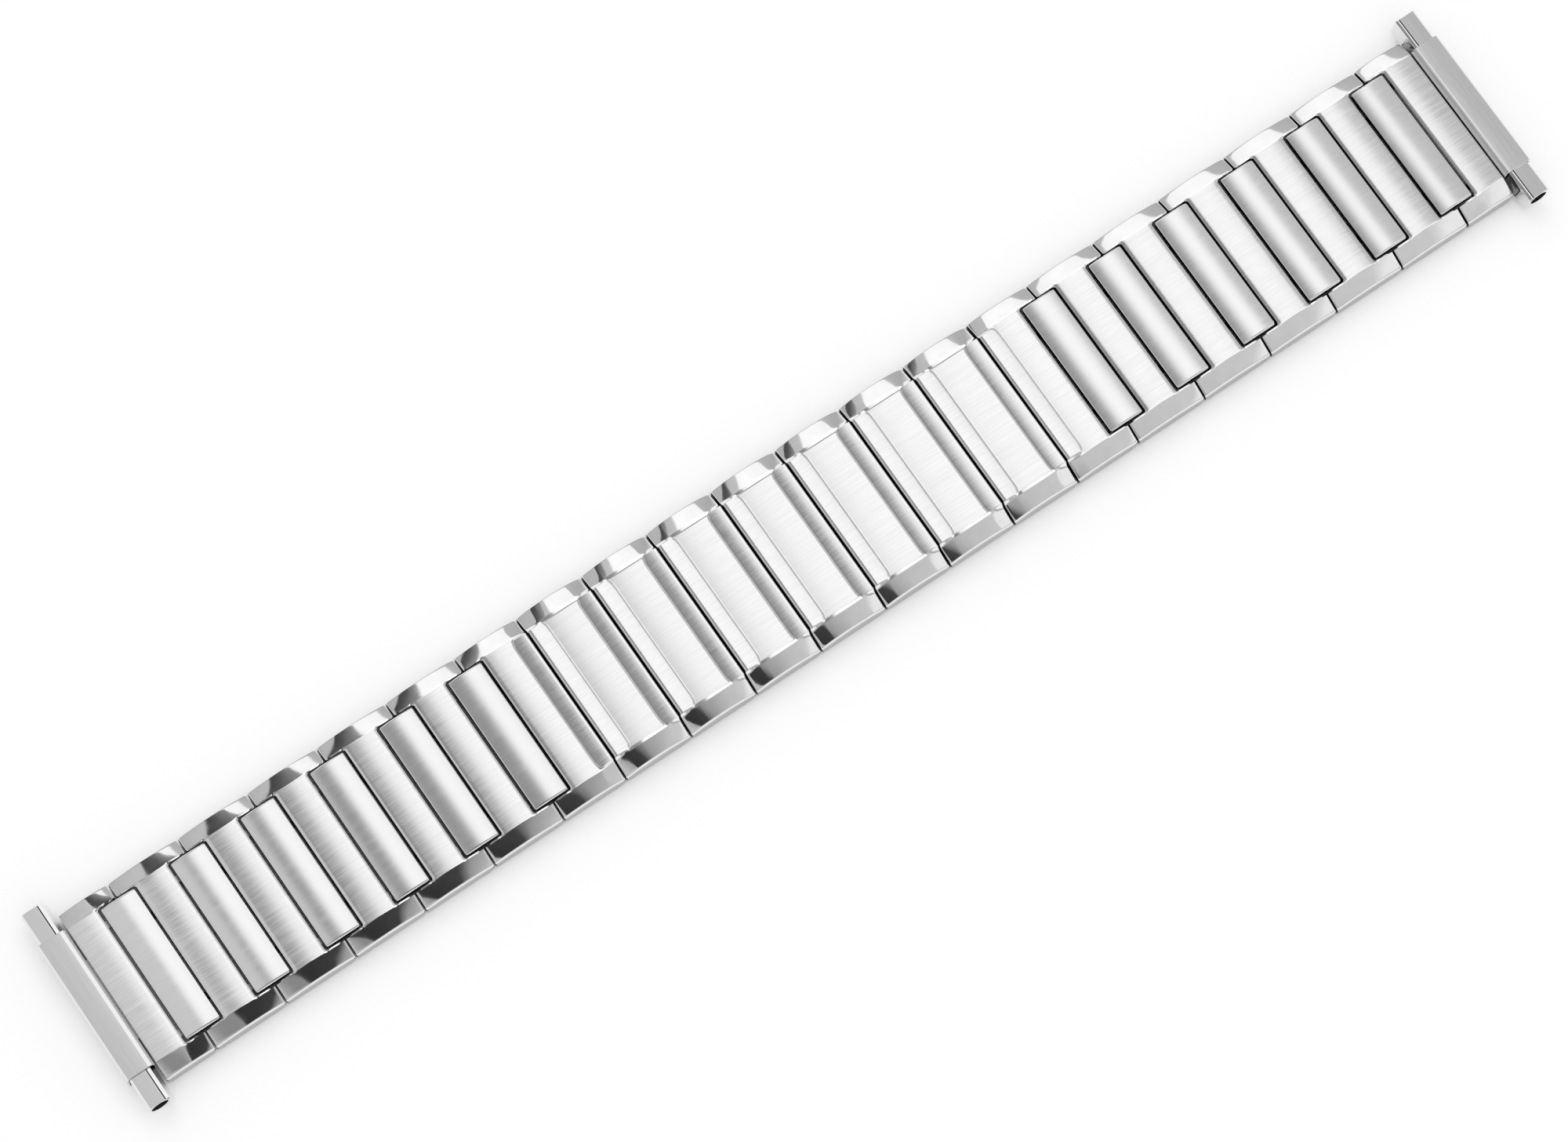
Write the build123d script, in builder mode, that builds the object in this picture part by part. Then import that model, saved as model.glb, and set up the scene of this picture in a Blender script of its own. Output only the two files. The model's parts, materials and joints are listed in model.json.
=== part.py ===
from build123d import *
import os
from math import asin, cos, degrees, radians, sin

os.makedirs("parts", exist_ok=True)

# A straight steel expansion band, lying with its wrist side down. X runs along the band, Y across it.
# The middle links turn on pins. Outside them the links draw apart on bows that slide against leaf springs.

# Rows of the band, counted outward from the middle link
hinge_joints = 4
stretch_joints = 6

# Lengths along the band
middle_pitch = 7.35
change_pitch = 6.95
outer_pitch = 7.7
end_link_length = 5.35
joint_gap = 0.18

# Widths across the band
band_width = 18.7
panel_width = 15.2
bar_length = 14.8

# Heights above the wrist side
deck_underside = 1.9
pivot_height = 1.2
skirt_lift = 0.25
outer_top = 2.8
middle_top = 2.95
bevel_drop = 0.5
sheet = 0.25
skirt_corner = 0.55
outer_arch_radius = 45.0
middle_arch_radius = 16.0
arch_spare_angle = 2.0

# Raised half-bars along the hinged edges of the middle links
rib_width = 1.72
rib_rise = 0.16
rib_length = 14.9

# Bars in the notches between the outer links
bar_width = 3.65
bar_top = 3.05
bar_crown = 0.2
bar_cap_underside = 2.1
bar_end_chamfer = 0.22
bar_gap = 0.2
notch_corner = 0.25
bar_body_width = 2.8
bar_body_length = 11.4
bar_body_bottom = 0.55
bar_body_corner = 0.45

# Bows: a round leg in the bar, two flat arms and a hook at the end of each arm
bow_offset = 0.75
bow_leg_radius = 0.35
running_clearance = 0.04
bow_arm_width = 0.7
bow_arm_height = 0.45
bow_reach = 5.05
hook_thickness = 0.45
hook_drop = 0.475
hook_overhang = 0.55
bow_side_gap = 0.15
bar_slot_margin = 0.75
arm_clearance = 0.1

# Trays under the links
tray_wall = 0.2
tray_floor = 0.25
tray_edge_chamfer = 0.18
tray_from_stretch_joint = 2.13
tray_from_hinge_joint = 0.875

# Leaf springs inside the trays
leaf_thickness = 0.12
leaf_height = 0.35
leaf_length = 14.6

# Hinges of the middle links
pin_radius = 0.4
pin_length = 12.0
knuckle_radius = 0.65
knuckle_sides = 8
knuckle_clearance = 0.1
tongue_length = 4.8

# Telescoping ends for a watch's spring bars
sleeve_width = 3.1
sleeve_height = 2.8
sleeve_length = 15.3
sleeve_lift = 0.4
sleeve_wall = 0.22
sleeve_gap = 0.1
sleeve_outer_corner = 0.35
sleeve_inner_corner = 0.3
cavity_outer_corner = 0.2
cavity_inner_corner = 0.15
sleeve_seam = 0.4
tongue_thickness = 0.3
tongue_width = 9.0
tongue_reach = 1.35
seat_clearance = 0.03
tube_spread = 22.0
tube_piece_length = 7.9
tube_clearance = 0.05
barrel_radius = 1.12
barrel_corner = 0.4
bore_radius = 0.9
tube_sheet = 0.25
lip_height = 1.9
lip_round = 0.2
groove_width = 0.16
groove_depth = 0.1
groove_place = 0.5

cut_overrun = 1.0

half_width = band_width / 2
half_panel = panel_width / 2
half_bar = bar_width / 2
notch_reach = half_bar + bar_gap
# one bow's arms pass the ends of the bar's box tube, the other's go through its walls
swing_bow_arm_place = (bar_body_length + bow_arm_width) / 2 + bow_side_gap
fixed_bow_arm_place = (bar_body_length - bow_arm_width) / 2 - bar_slot_margin


def joint_places():
    """Places along X of the joints of the right arm, from the middle outward."""
    places = [middle_pitch / 2 + middle_pitch * number for number in range(hinge_joints)]
    places.append(places[-1] + change_pitch)
    for number in range(stretch_joints - 1):
        places.append(places[-1] + outer_pitch)
    return places


def across(length):
    """Plane along the band, at the far end of a length that is laid evenly across it."""
    return Plane.XZ.offset(-length / 2)


def arch_plane(centre, lean):
    """Plane through the centre of an arch, its second axis leaning toward +X by an angle in degrees."""
    angle = radians(lean)
    return Plane(origin=centre, x_dir=(0, 1, 0), z_dir=(cos(angle), 0, -sin(angle)))


def link_shell(start, end, start_kind, end_kind):
    """Pressed top of a link, from one joint to the next: brushed panel, bevelled ends and side skirts."""
    both_hinged = start_kind == "hinge" and end_kind == "hinge"
    top = middle_top if both_hinged else outer_top
    arch_radius = middle_arch_radius if both_hinged else outer_arch_radius
    left = start + joint_gap / 2
    right = end if end_kind == "sleeve" else end - joint_gap / 2
    middle = (start + end) / 2
    centre = (middle, 0, top - arch_radius)
    arch_axis = Axis(centre, (0, 1, 0))

    def lean_at(x):
        return degrees(asin((x - middle) / arch_radius))

    def pocket_from(kind):
        return notch_reach + sheet if kind == "stretch" else tray_from_hinge_joint + tray_wall

    pocket_left = start + pocket_from(start_kind)
    pocket_right = end - pocket_from(end_kind)
    with BuildPart() as shell:
        # cross-section of the link, swung along the arch
        with BuildSketch(arch_plane(centre, lean_at(left) - arch_spare_angle)):
            with BuildLine():
                Polyline(
                    (-half_width, arch_radius - top),
                    (-half_width, arch_radius - bevel_drop),
                    (-half_panel, arch_radius),
                    (half_panel, arch_radius),
                    (half_width, arch_radius - bevel_drop),
                    (half_width, arch_radius - top),
                    close=True,
                )
            make_face()
        swing = lean_at(right) - lean_at(left) + 2 * arch_spare_angle
        revolve(axis=arch_axis, revolution_arc=swing)
        # raised half-bars beside the pins
        for edge, inner_edge, present in (
            (left, left + rib_width, start_kind == "hinge"),
            (right - rib_width, right, end_kind == "hinge"),
        ):
            if present:
                with BuildSketch(arch_plane(centre, lean_at(edge))):
                    with Locations((0, arch_radius)):
                        Rectangle(rib_length, 2 * rib_rise)
                revolve(axis=arch_axis, revolution_arc=lean_at(inner_edge) - lean_at(edge))
        # straight lower edge with rounded corners, and square ends
        with BuildSketch(across(band_width + cut_overrun)):
            with Locations(((left + right) / 2, skirt_lift)):
                outline = Rectangle(right - left, top + rib_rise, align=(Align.CENTER, Align.MIN))
            chamfer(outline.vertices().group_by(Axis.Y)[0], skirt_corner)
        extrude(amount=band_width + cut_overrun, mode=Mode.INTERSECT)
        # open underside between the skirts
        with BuildSketch(Plane.XY):
            with Locations((middle, 0)):
                Rectangle(end - start + cut_overrun, band_width - 2 * sheet)
        extrude(amount=deck_underside, mode=Mode.SUBTRACT)
        # pocket under the panel
        with BuildSketch(Plane.XY.offset(deck_underside)):
            with Locations(((pocket_left + pocket_right) / 2, 0)):
                Rectangle(pocket_right - pocket_left, panel_width - 2 * sheet)
        extrude(amount=top - sheet - bevel_drop / 2 - deck_underside, mode=Mode.SUBTRACT)
        # notches for the bars
        for joint, direction, present in (
            (start, 1, start_kind == "stretch"),
            (end, -1, end_kind == "stretch"),
        ):
            if present:
                with BuildSketch(Plane.XY):
                    with Locations((joint, 0)):
                        notch = Rectangle(2 * notch_reach, panel_width)
                    chamfer(notch.vertices().sort_by(Axis.X, reverse=direction > 0)[0:2], notch_corner)
                extrude(amount=top + cut_overrun, mode=Mode.SUBTRACT)
    return shell.part


def knuckle_flats(radius):
    """Section of a knuckle that is folded round its pin in flats, each of them this far from the axis."""
    return RegularPolygon(radius, knuckle_sides, rotation=180 / knuckle_sides, major_radius=False)


def tray_ends(start, end, start_kind, end_kind):
    """Left and right outside faces of a link's tray."""
    distance = {"stretch": tray_from_stretch_joint, "hinge": tray_from_hinge_joint, "sleeve": 0}
    return start + distance[start_kind], end - distance[end_kind]


def link_tray(start, end, start_kind, end_kind, start_knuckles="fork"):
    """Box on the wrist side of a link: it holds the hooks and springs, or carries the hinge knuckles."""
    left, right = tray_ends(start, end, start_kind, end_kind)
    length = right - left
    fork_outside = pin_length / 2
    fork_inside = tongue_length / 2 + knuckle_clearance
    with BuildPart() as tray:
        with BuildSketch(Plane.XY):
            with Locations(((left + right) / 2, 0)):
                Rectangle(length, band_width - 2 * sheet)
        extrude(amount=deck_underside)
        bottom_edges = tray.edges().filter_by(Axis.Y).group_by(Axis.Z)[0]
        chamfer(bottom_edges, tray_edge_chamfer)
        # hinge knuckles on webs, one in the middle or two beside it
        for joint, face, kind, knuckles in (
            (start, left, start_kind, start_knuckles),
            (end, right, end_kind, "tongue"),
        ):
            if kind != "hinge":
                continue
            for low, high in ((-fork_outside, -fork_inside), (-tongue_length / 2, tongue_length / 2),
                              (fork_inside, fork_outside)):
                is_tongue = low < 0 < high
                if is_tongue != (knuckles == "tongue"):
                    continue
                with BuildSketch(Plane.XZ.offset(-high)):
                    with Locations((joint, pivot_height)):
                        knuckle_flats(knuckle_radius)
                    with Locations(((joint + face) / 2, pivot_height)):
                        Rectangle(abs(face - joint), 2 * knuckle_radius)
                extrude(amount=high - low)
        with BuildSketch(Plane.XY.offset(tray_floor)):
            with Locations(((left + right) / 2, 0)):
                Rectangle(length - 2 * tray_wall, band_width - 2 * sheet - 2 * tray_wall)
        extrude(amount=deck_underside, mode=Mode.SUBTRACT)
        for joint, kind in ((start, start_kind), (end, end_kind)):
            if kind == "hinge":
                with BuildSketch(across(pin_length)):
                    with Locations((joint, pivot_height)):
                        knuckle_flats(pin_radius + running_clearance)
                extrude(amount=pin_length, mode=Mode.SUBTRACT)
        # slots that the arms of the bows slide through
        for face, kind, place in (
            (left, start_kind, swing_bow_arm_place),
            (right, end_kind, fixed_bow_arm_place),
        ):
            if kind == "stretch":
                with BuildSketch(Plane.YZ.offset(face - tray_wall)):
                    with Locations((place, pivot_height), (-place, pivot_height)):
                        Rectangle(bow_arm_width + 2 * arm_clearance, bow_arm_height + 2 * arm_clearance)
                extrude(amount=2 * tray_wall, mode=Mode.SUBTRACT)
            if kind == "sleeve":
                with BuildSketch(Plane.YZ.offset(face - tray_wall)):
                    with Locations((0, pivot_height)):
                        Rectangle(tongue_width + 2 * seat_clearance, tongue_thickness + 2 * seat_clearance)
                extrude(amount=2 * tray_wall, mode=Mode.SUBTRACT)
    return tray.part


def leaf_springs(start, end, start_kind, end_kind):
    """Flat leaf springs, one against each wall that the arms of a bow pass through."""
    left, right = tray_ends(start, end, start_kind, end_kind)
    hook_bottom = pivot_height - bow_arm_height / 2 - hook_drop
    places = []
    if start_kind == "stretch":
        places.append(left + tray_wall + leaf_thickness / 2)
    if end_kind == "stretch":
        places.append(right - tray_wall - leaf_thickness / 2)
    leaves = []
    for place in places:
        with BuildPart() as leaf:
            with BuildSketch(Plane.XY.offset(hook_bottom)):
                with Locations((place, 0)):
                    Rectangle(leaf_thickness, leaf_length)
            extrude(amount=leaf_height)
        leaves.append(leaf.part)
    return leaves


def bow(joint, direction, arm_place, hook_sign, turns):
    """Bent bow: a leg across the bar, round where it turns, and two arms that end in hooks."""
    pivot = joint + direction * bow_offset
    tip = joint + direction * bow_reach
    hook_height = bow_arm_height + hook_drop
    leg_length = 2 * arm_place + bow_arm_width
    with BuildPart() as wire:
        with BuildSketch(across(leg_length)):
            with Locations((pivot, pivot_height)):
                if turns:
                    Circle(bow_leg_radius)
                else:
                    Rectangle(2 * bow_leg_radius, bow_arm_height)
        extrude(amount=leg_length)
        with BuildSketch(Plane.XY.offset(pivot_height - bow_arm_height / 2)):
            with Locations(((pivot + tip) / 2, arm_place), ((pivot + tip) / 2, -arm_place)):
                Rectangle(abs(tip - pivot), bow_arm_width)
        extrude(amount=bow_arm_height)
        # hook at the end of each arm, turned down and to one side
        with BuildSketch(Plane.XY.offset(pivot_height - bow_arm_height / 2 - hook_drop)):
            shift = hook_sign * hook_overhang / 2
            with Locations((tip - direction * hook_thickness / 2, arm_place + shift),
                           (tip - direction * hook_thickness / 2, -arm_place - shift)):
                Rectangle(hook_thickness, bow_arm_width + hook_overhang)
        extrude(amount=hook_height)
    return wire.part


def bar(joint):
    """Crowned bar that lies in the notches over a joint, with a box tube for its bows beneath."""
    with BuildPart() as piece:
        with BuildSketch(across(bar_length)):
            with BuildLine():
                Polyline(
                    (joint - half_bar, bar_top - bar_crown),
                    (joint - half_bar, bar_cap_underside),
                    (joint + half_bar, bar_cap_underside),
                    (joint + half_bar, bar_top - bar_crown),
                )
                ThreePointArc(
                    (joint + half_bar, bar_top - bar_crown),
                    (joint, bar_top),
                    (joint - half_bar, bar_top - bar_crown),
                )
            make_face()
        extrude(amount=bar_length)
        with BuildSketch(Plane.YZ.offset(joint - bar_width)):
            with Locations((0, bar_cap_underside)):
                ends = Rectangle(bar_length, bar_top - bar_cap_underside, align=(Align.CENTER, Align.MIN))
            chamfer(ends.vertices().group_by(Axis.Y)[-1], bar_end_chamfer)
        extrude(amount=2 * bar_width, mode=Mode.INTERSECT)
        with BuildSketch(across(bar_body_length)):
            with Locations((joint, bar_body_bottom)):
                body = Rectangle(
                    bar_body_width, bar_cap_underside + sheet - bar_body_bottom,
                    align=(Align.CENTER, Align.MIN),
                )
            chamfer(body.vertices().group_by(Axis.Y)[0], bar_body_corner)
            with Locations((joint, pivot_height)):
                Rectangle(
                    2 * (bow_offset + bow_leg_radius + running_clearance),
                    2 * (bow_leg_radius + running_clearance),
                    mode=Mode.SUBTRACT,
                )
        extrude(amount=bar_body_length)
        # slots for the arms of the bow that stays square to the bar
        with BuildSketch(Plane.YZ.offset(joint - bar_body_width)):
            with Locations((fixed_bow_arm_place, pivot_height), (-fixed_bow_arm_place, pivot_height)):
                Rectangle(bow_arm_width + 2 * running_clearance, 2 * (bow_leg_radius + running_clearance))
        extrude(amount=bar_body_width, mode=Mode.SUBTRACT)
    return piece.part


def hinge_pin(joint):
    """Plain pin through the knuckles of two middle links."""
    with BuildPart() as pin:
        with BuildSketch(across(pin_length)):
            with Locations((joint, pivot_height)):
                Circle(pin_radius)
        extrude(amount=pin_length)
    return pin.part


def end_sleeve(start):
    """Rolled sleeve at the end of the band, with a tongue that is held in the end link."""
    middle = start + sleeve_width / 2
    height = sleeve_lift + sleeve_height / 2
    with BuildPart() as sleeve:
        with BuildSketch(across(sleeve_length)):
            with Locations((middle, height)):
                outline = Rectangle(sleeve_width, sleeve_height)
            fillet(outline.vertices().group_by(Axis.X)[-1], sleeve_outer_corner)
            fillet(outline.vertices().group_by(Axis.X)[0], sleeve_inner_corner)
        extrude(amount=sleeve_length)
        with BuildSketch(Plane.XY.offset(pivot_height - tongue_thickness / 2)):
            with Locations((start + sleeve_wall, 0)):
                Rectangle(tongue_reach + sleeve_wall, tongue_width, align=(Align.MAX, Align.CENTER))
        extrude(amount=tongue_thickness)
        with BuildSketch(across(sleeve_length)):
            with Locations((middle, height)):
                cavity = Rectangle(sleeve_width - 2 * sleeve_wall, sleeve_height - 2 * sleeve_wall)
            chamfer(cavity.vertices().group_by(Axis.X)[-1], cavity_outer_corner)
            chamfer(cavity.vertices().group_by(Axis.X)[0], cavity_inner_corner)
        extrude(amount=sleeve_length, mode=Mode.SUBTRACT)
        with BuildSketch(Plane.XY):
            with Locations((middle - sleeve_seam, 0)):
                Rectangle(sleeve_seam, sleeve_length + cut_overrun)
        extrude(amount=height, mode=Mode.SUBTRACT)
    return sleeve.part


def tube_piece(start, side):
    """Half of the telescoping end: a barrel with a flat top for the spring bar, and a lip turned down."""
    room_left = start + sleeve_wall + tube_clearance
    room_right = start + sleeve_width - sleeve_wall - tube_clearance
    top = sleeve_lift + sleeve_height - sleeve_wall - tube_clearance
    barrel = (room_right - barrel_radius, top - barrel_radius)
    with BuildPart() as tube:
        with BuildSketch(Plane.XZ.offset(-side * tube_spread / 2)) as section:
            with Locations(barrel):
                Circle(barrel_radius)
                Rectangle(barrel_radius, barrel_radius, align=Align.MIN)
            with Locations((room_left, top)):
                Rectangle(barrel[0] - room_left, tube_sheet, align=(Align.MIN, Align.MAX))
                Rectangle(tube_sheet, lip_height, align=(Align.MIN, Align.MAX))
            fillet(section.vertices().group_by(Axis.X)[0].sort_by(Axis.Y)[-1], lip_round)
            fillet(section.vertices().group_by(Axis.X)[-1].sort_by(Axis.Y)[-1], barrel_corner)
            with Locations(barrel):
                Circle(bore_radius, mode=Mode.SUBTRACT)
            with Locations((room_left + groove_place, top)):
                Rectangle(groove_width, 2 * groove_depth, mode=Mode.SUBTRACT)
        extrude(amount=side * tube_piece_length)
    return tube.part


def write(name, solids):
    """Write one node, with each of its pieces as a separate solid."""
    node = Compound([solid for piece in solids for solid in piece.solids()])
    node.label = name
    export_step(node, f"parts/{name}.step")


def write_both(right_name, left_name, solids):
    """Write a node of the right arm and its mirrored copy on the left arm."""
    write(right_name, solids)
    write(left_name, [mirror(piece, about=Plane.YZ) for piece in solids])


def link_pieces(start, end, start_kind, end_kind, start_knuckles="fork"):
    """All pieces of one link."""
    shell = link_shell(start, end, start_kind, end_kind)
    tray = link_tray(start, end, start_kind, end_kind, start_knuckles)
    return [shell, tray] + leaf_springs(start, end, start_kind, end_kind)


joints = joint_places()
arm_links = hinge_joints + stretch_joints - 1
link_count = 2 * arm_links + 1

write(f"link_{arm_links + 1:02d}", link_pieces(-joints[0], joints[0], "hinge", "hinge", "tongue"))

for number in range(arm_links):
    start_kind = "hinge" if number < hinge_joints else "stretch"
    end_kind = "hinge" if number + 1 < hinge_joints else "stretch"
    right_number = arm_links + 2 + number
    write_both(
        f"link_{right_number:02d}",
        f"link_{link_count + 1 - right_number:02d}",
        link_pieces(joints[number], joints[number + 1], start_kind, end_kind),
    )

for number in range(hinge_joints):
    right_number = hinge_joints + 1 + number
    write_both(
        f"hinge_pin_{right_number:02d}",
        f"hinge_pin_{2 * hinge_joints + 1 - right_number:02d}",
        [hinge_pin(joints[number])],
    )

for number in range(stretch_joints):
    place = joints[hinge_joints + number]
    right_number = stretch_joints + 1 + number
    left_number = 2 * stretch_joints + 1 - right_number
    fixed_bow = bow(place, -1, fixed_bow_arm_place, -1, False)
    swing_bow = bow(place, 1, swing_bow_arm_place, 1, True)
    write_both(f"bar_{right_number:02d}", f"bar_{left_number:02d}", [bar(place), fixed_bow])
    write_both(f"bow_{right_number:02d}", f"bow_{left_number:02d}", [swing_bow])

end_joint = joints[-1]
end_face = end_joint + end_link_length
sleeve_start = end_face + sleeve_gap
write_both("right_end_link", "left_end_link", link_pieces(end_joint, end_face, "stretch", "sleeve"))
write_both("right_end_sleeve", "left_end_sleeve", [end_sleeve(sleeve_start)])
write_both("right_front_tube", "left_front_tube", [tube_piece(sleeve_start, -1)])
write_both("right_rear_tube", "left_rear_tube", [tube_piece(sleeve_start, 1)])
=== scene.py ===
import json
from math import cos, hypot, pi, radians, sin, sqrt

import bmesh
import bpy
from mathutils import Matrix, Vector


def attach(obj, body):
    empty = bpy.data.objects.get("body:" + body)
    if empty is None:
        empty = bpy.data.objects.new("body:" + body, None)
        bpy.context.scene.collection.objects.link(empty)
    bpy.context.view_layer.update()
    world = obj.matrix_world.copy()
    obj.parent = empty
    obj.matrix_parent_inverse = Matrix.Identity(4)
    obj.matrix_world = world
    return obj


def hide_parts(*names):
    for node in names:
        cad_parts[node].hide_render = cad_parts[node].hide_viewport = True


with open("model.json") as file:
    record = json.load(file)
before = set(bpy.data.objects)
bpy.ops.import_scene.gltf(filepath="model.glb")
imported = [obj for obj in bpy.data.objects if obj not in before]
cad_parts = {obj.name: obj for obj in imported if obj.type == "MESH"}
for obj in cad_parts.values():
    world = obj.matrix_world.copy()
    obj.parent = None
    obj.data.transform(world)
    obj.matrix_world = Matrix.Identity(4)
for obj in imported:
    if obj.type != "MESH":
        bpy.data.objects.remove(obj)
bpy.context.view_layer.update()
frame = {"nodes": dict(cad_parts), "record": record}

# Sizes are in millimetres: a hair's width to tell two heights apart, and how near two places count as the same
mm = 0.001
hair = 0.01
touching = 1e-6
scene = bpy.context.scene

# Joints of the right arm, in millimetres from the middle of the band
band = {
    "hingeJoints": 4,
    "stretchJoints": 6,
    "middlePitch": 7.35,
    "changePitch": 6.95,
    "outerPitch": 7.7,
    "endLinkLength": 5.35,
    "jointGap": 0.18,
}
jointPlaces = [band["middlePitch"] / 2 + band["middlePitch"] * n for n in range(band["hingeJoints"])]
jointPlaces.append(jointPlaces[-1] + band["changePitch"])
for n in range(band["stretchJoints"] - 1):
    jointPlaces.append(jointPlaces[-1] + band["outerPitch"])
endFace = jointPlaces[-1] + band["endLinkLength"]


def newGroup(name, inputs, outputs):
    group = bpy.data.node_groups.new(name, "ShaderNodeTree")
    for label, kind, value in inputs:
        socket = group.interface.new_socket(name=label, in_out="INPUT", socket_type=kind)
        socket.default_value = value
    for label, kind in outputs:
        group.interface.new_socket(name=label, in_out="OUTPUT", socket_type=kind)
    return group, group.nodes.new("NodeGroupInput"), group.nodes.new("NodeGroupOutput")


def feed(tree, socket, value):
    if isinstance(value, bpy.types.NodeSocket):
        tree.links.new(value, socket)
    else:
        socket.default_value = value


def mathNode(tree, operation, first, second):
    node = tree.nodes.new("ShaderNodeMath")
    node.operation = operation
    for socket, value in zip(node.inputs, (first, second)):
        feed(tree, socket, value)
    return node.outputs[0]


def mixNode(tree, factor, first, second):
    node = tree.nodes.new("ShaderNodeMix")
    for socket, value in zip((node.inputs[0], node.inputs[2], node.inputs[3]), (factor, first, second)):
        feed(tree, socket, value)
    return node.outputs[0]


def rangeNode(tree, value, source, target):
    node = tree.nodes.new("ShaderNodeMapRange")
    node.inputs["From Min"].default_value, node.inputs["From Max"].default_value = source
    node.inputs["To Min"].default_value, node.inputs["To Max"].default_value = target
    tree.links.new(value, node.inputs["Value"])
    return node.outputs[0]


# Fine lines left by the brushing wheel, long along the band and thin across it
brushing = {"along": 260.0, "across": 7000.0, "coarseShare": 0.4, "coarseScale": 0.3, "detail": 2.0}
brushLines, groupIn, groupOut = newGroup(
    "Brush lines",
    [("Lines Along", "NodeSocketFloat", brushing["along"]), ("Lines Across", "NodeSocketFloat", brushing["across"]),
     ("Coarse Share", "NodeSocketFloat", brushing["coarseShare"])],
    [("Lines", "NodeSocketFloat")],
)
place = brushLines.nodes.new("ShaderNodeTexCoord")
layers = []
for share in (1.0, brushing["coarseScale"]):
    stretch = brushLines.nodes.new("ShaderNodeCombineXYZ")
    brushLines.links.new(mathNode(brushLines, "MULTIPLY", groupIn.outputs["Lines Along"], share), stretch.inputs["X"])
    across = mathNode(brushLines, "MULTIPLY", groupIn.outputs["Lines Across"], share)
    brushLines.links.new(across, stretch.inputs["Y"])
    brushLines.links.new(across, stretch.inputs["Z"])
    scaled = brushLines.nodes.new("ShaderNodeVectorMath")
    scaled.operation = "MULTIPLY"
    brushLines.links.new(place.outputs["Object"], scaled.inputs[0])
    brushLines.links.new(stretch.outputs[0], scaled.inputs[1])
    noise = brushLines.nodes.new("ShaderNodeTexNoise")
    noise.inputs["Scale"].default_value = 1.0
    noise.inputs["Detail"].default_value = brushing["detail"]
    brushLines.links.new(scaled.outputs[0], noise.inputs["Vector"])
    layers.append(noise.outputs[0])
mixed = mixNode(brushLines, groupIn.outputs["Coarse Share"], *layers)
brushLines.links.new(mixed, groupOut.inputs["Lines"])

# Slow unevenness of pressed and polished sheet, and the smears of handling
unevenness = {"waves": 320.0, "waveDetail": 0.0, "smears": 900.0, "smearDetail": 3.0}
sheetUnevenness, groupIn, groupOut = newGroup(
    "Sheet unevenness",
    [("Waves per Metre", "NodeSocketFloat", unevenness["waves"]),
     ("Smears per Metre", "NodeSocketFloat", unevenness["smears"])],
    [("Height", "NodeSocketFloat"), ("Smears", "NodeSocketFloat")],
)
place = sheetUnevenness.nodes.new("ShaderNodeTexCoord")
for scaleName, outName, detail in (("Waves per Metre", "Height", unevenness["waveDetail"]),
                                   ("Smears per Metre", "Smears", unevenness["smearDetail"])):
    noise = sheetUnevenness.nodes.new("ShaderNodeTexNoise")
    noise.inputs["Detail"].default_value = detail
    sheetUnevenness.links.new(place.outputs["Object"], noise.inputs["Vector"])
    sheetUnevenness.links.new(groupIn.outputs[scaleName], noise.inputs["Scale"])
    sheetUnevenness.links.new(noise.outputs[0], groupOut.inputs[outName])


def greyMix(tree, factor, dark, light):
    node = tree.nodes.new("ShaderNodeMix")
    node.data_type = "RGBA"
    node.inputs[6].default_value = (dark, dark, dark, 1)
    node.inputs[7].default_value = (light, light, light, 1)
    tree.links.new(factor, node.inputs[0])
    return node.outputs[2]


# Steel between a darker and a lighter tone and roughness, with the relief of its lines or waves in millimetres
noiseSpan = (0.25, 0.75)


def steel(name, tones, roughness, lineDepth=0.0, waveDepth=0.0, along=brushing["along"], across=brushing["across"],
          coarse=brushing["coarseShare"]):
    material = bpy.data.materials.new(name)
    material.use_nodes = True
    tree = material.node_tree
    surface = tree.nodes["Principled BSDF"]
    surface.inputs["Metallic"].default_value = 1.0
    lines = tree.nodes.new("ShaderNodeGroup")
    lines.node_tree = brushLines
    lines.inputs["Lines Along"].default_value = along
    lines.inputs["Lines Across"].default_value = across
    lines.inputs["Coarse Share"].default_value = coarse
    uneven = tree.nodes.new("ShaderNodeGroup")
    uneven.node_tree = sheetUnevenness
    pattern = lines.outputs["Lines"] if lineDepth else uneven.outputs["Smears"]
    toneShare = rangeNode(tree, pattern, noiseSpan, (0.0, 1.0))
    tree.links.new(greyMix(tree, toneShare, *tones), surface.inputs["Base Color"])
    tree.links.new(rangeNode(tree, pattern, noiseSpan, roughness), surface.inputs["Roughness"])
    normal = None
    for height, depth in ((uneven.outputs["Height"], waveDepth), (lines.outputs["Lines"], lineDepth)):
        if depth:
            bump = tree.nodes.new("ShaderNodeBump")
            bump.inputs["Strength"].default_value = 1.0
            bump.inputs["Distance"].default_value = depth * mm
            tree.links.new(height, bump.inputs["Height"])
            if normal:
                tree.links.new(normal, bump.inputs["Normal"])
            normal = bump.outputs[0]
    if normal:
        tree.links.new(normal, surface.inputs["Normal"])
    return material


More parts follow.
